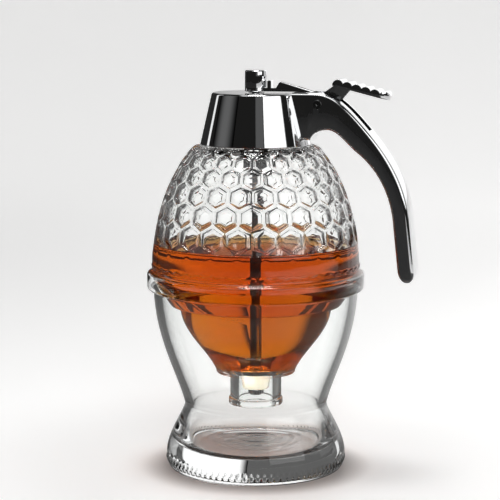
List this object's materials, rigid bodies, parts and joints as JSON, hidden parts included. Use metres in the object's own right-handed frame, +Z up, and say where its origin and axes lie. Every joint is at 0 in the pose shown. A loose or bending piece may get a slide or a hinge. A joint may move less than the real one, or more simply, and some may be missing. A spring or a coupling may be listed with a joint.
{
  "type": "honey dispenser",
  "caption": "Glass honey dispenser: a jar with a honeycomb relief in a waisted glass stand, under a chromed lid with a handle and a thumb lever that lifts the stopper.",
  "frame": {"origin": "centre of the foot, on the table", "axes": "+Z up along the axis of the jar and the stand, +X towards the handle"},
  "size_m": [0.1046, 0.084, 0.1542],
  "materials": {
    "clear_glass": "polished, clear",
    "chrome": "mirror plated",
    "steel": "satin stainless",
    "dark_plastic": "matt",
    "silicone": "soft, slightly milky"
  },
  "bodies": {
    "stand": {"stand": "clear_glass"},
    "jar": {"jar": "clear_glass"},
    "gasket": {"neck_gasket": "silicone"},
    "head": {"lid_shell": "chrome", "lid_liner": "dark_plastic", "guide_tube": "dark_plastic", "handle": "chrome", "handle_screws": "steel", "lever_pin": "steel"},
    "lever": {"lever": "chrome"},
    "plunger": {"knob": "chrome", "plunger_rod": "steel", "return_spring": "steel", "spring_washer": "steel", "spring_clip": "steel", "stopper_collar": "steel", "stopper": "silicone", "stopper_nut": "steel"}
  },
  "joints": [
    {"name": "jar_lift", "type": "slide", "parent": "stand", "child": "jar", "axis": [0, 0, 1], "range_m": [0, 0.1]},
    {"name": "lid_lift", "type": "slide", "parent": "jar", "child": "gasket", "axis": [0, 0, 1], "range_m": [0, 0.135]},
    {"name": "lid_turn", "type": "hinge", "parent": "gasket", "child": "head", "pos_m": [0, 0, 0.1261], "axis": [0, 0, 1], "range_deg": [0, 450]},
    {"name": "lever_pivot", "type": "hinge", "parent": "head", "child": "lever", "pos_m": [0.0252, 0, 0.142], "axis": [0, 1, 0], "range_deg": [0, 9.9]},
    {"name": "plunger_slide", "type": "slide", "parent": "head", "child": "plunger", "axis": [0, 0, 1], "range_m": [0, 0.00425], "stiffness_N_per_m": 400, "springref_m": -0.005, "deforming": ["return_spring"]}
  ],
  "couplings": [
    {"joint": "lever_pivot", "follows": "plunger_slide", "rad_per_m": 40.6}
  ]
}
